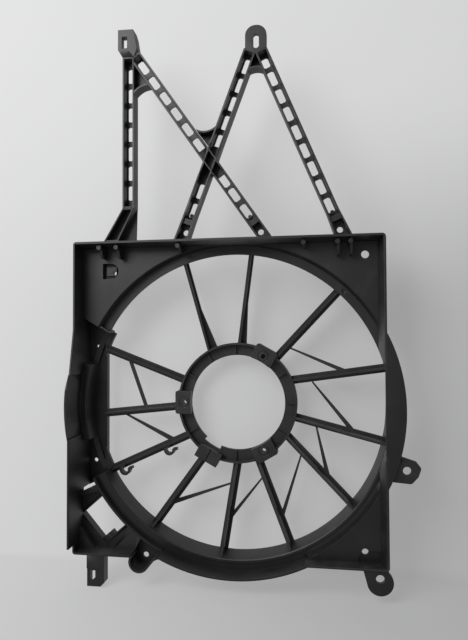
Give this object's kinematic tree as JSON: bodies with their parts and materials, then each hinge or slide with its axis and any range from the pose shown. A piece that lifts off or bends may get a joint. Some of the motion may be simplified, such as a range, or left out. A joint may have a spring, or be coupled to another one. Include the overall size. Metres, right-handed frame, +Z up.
{
  "type": "radiator fan shroud",
  "caption": "Moulded shroud for a radiator fan: round tunnel in a skirted box, spoked motor ring, and a truss of open-backed arms above.",
  "frame": {"origin": "on the fan axis, on the seats of the three motor lugs", "axes": "+Z up, +X to the right seen from the radiator side, +Y away from the radiator along the fan axis"},
  "size_m": [0.4088, 0.079, 0.6712],
  "materials": {
    "black_plastic": "satin moulded"
  },
  "bodies": {
    "root": {"arm_arches": "black_plastic", "arm_crossing": "black_plastic", "arm_diagonal_lower": "black_plastic", "arm_diagonal_upper": "black_plastic", "arm_left": "black_plastic", "arm_left_foot": "black_plastic", "arm_middle_lower": "black_plastic", "arm_middle_upper": "black_plastic", "arm_right": "black_plastic", "clip_box": "black_plastic", "deep_plate_lower": "black_plastic", "deep_plate_upper": "black_plastic", "ear_lower_left": "black_plastic", "ear_lower_right": "black_plastic", "ear_right": "black_plastic", "fan_flange_lower": "black_plastic", "fan_ledge_upper": "black_plastic", "fan_ring_strip_left": "black_plastic", "fan_tunnel_lower": "black_plastic", "fan_tunnel_upper": "black_plastic", "leg_lower_left": "black_plastic", "motor_double_block": "black_plastic", "motor_lug_left": "black_plastic", "motor_lug_lower": "black_plastic", "motor_lug_upper": "black_plastic", "motor_ring": "black_plastic", "plate_lower_left": "black_plastic", "plate_lower_right": "black_plastic", "plate_upper_left": "black_plastic", "plate_upper_right": "black_plastic", "relay_frame": "black_plastic", "relay_raised_plates": "black_plastic", "segment_plate_left": "black_plastic", "skirt_bottom_bulge": "black_plastic", "skirt_bottom_left": "black_plastic", "skirt_bottom_right": "black_plastic", "skirt_left_bulge": "black_plastic", "skirt_left_flap": "black_plastic", "skirt_left_upper": "black_plastic", "skirt_right_bulge": "black_plastic", "skirt_right_lower": "black_plastic", "skirt_right_upper": "black_plastic", "skirt_top": "black_plastic", "spoke_01": "black_plastic", "spoke_02": "black_plastic", "spoke_03": "black_plastic", "spoke_04": "black_plastic", "spoke_05": "black_plastic", "spoke_06": "black_plastic", "spoke_07": "black_plastic", "spoke_08": "black_plastic", "spoke_09": "black_plastic", "spoke_10": "black_plastic", "spoke_11": "black_plastic", "spoke_12": "black_plastic", "spoke_braces": "black_plastic", "tab_top": "black_plastic", "top_wall_gussets": "black_plastic", "wire_clips": "black_plastic"}
  },
  "joints": []
}
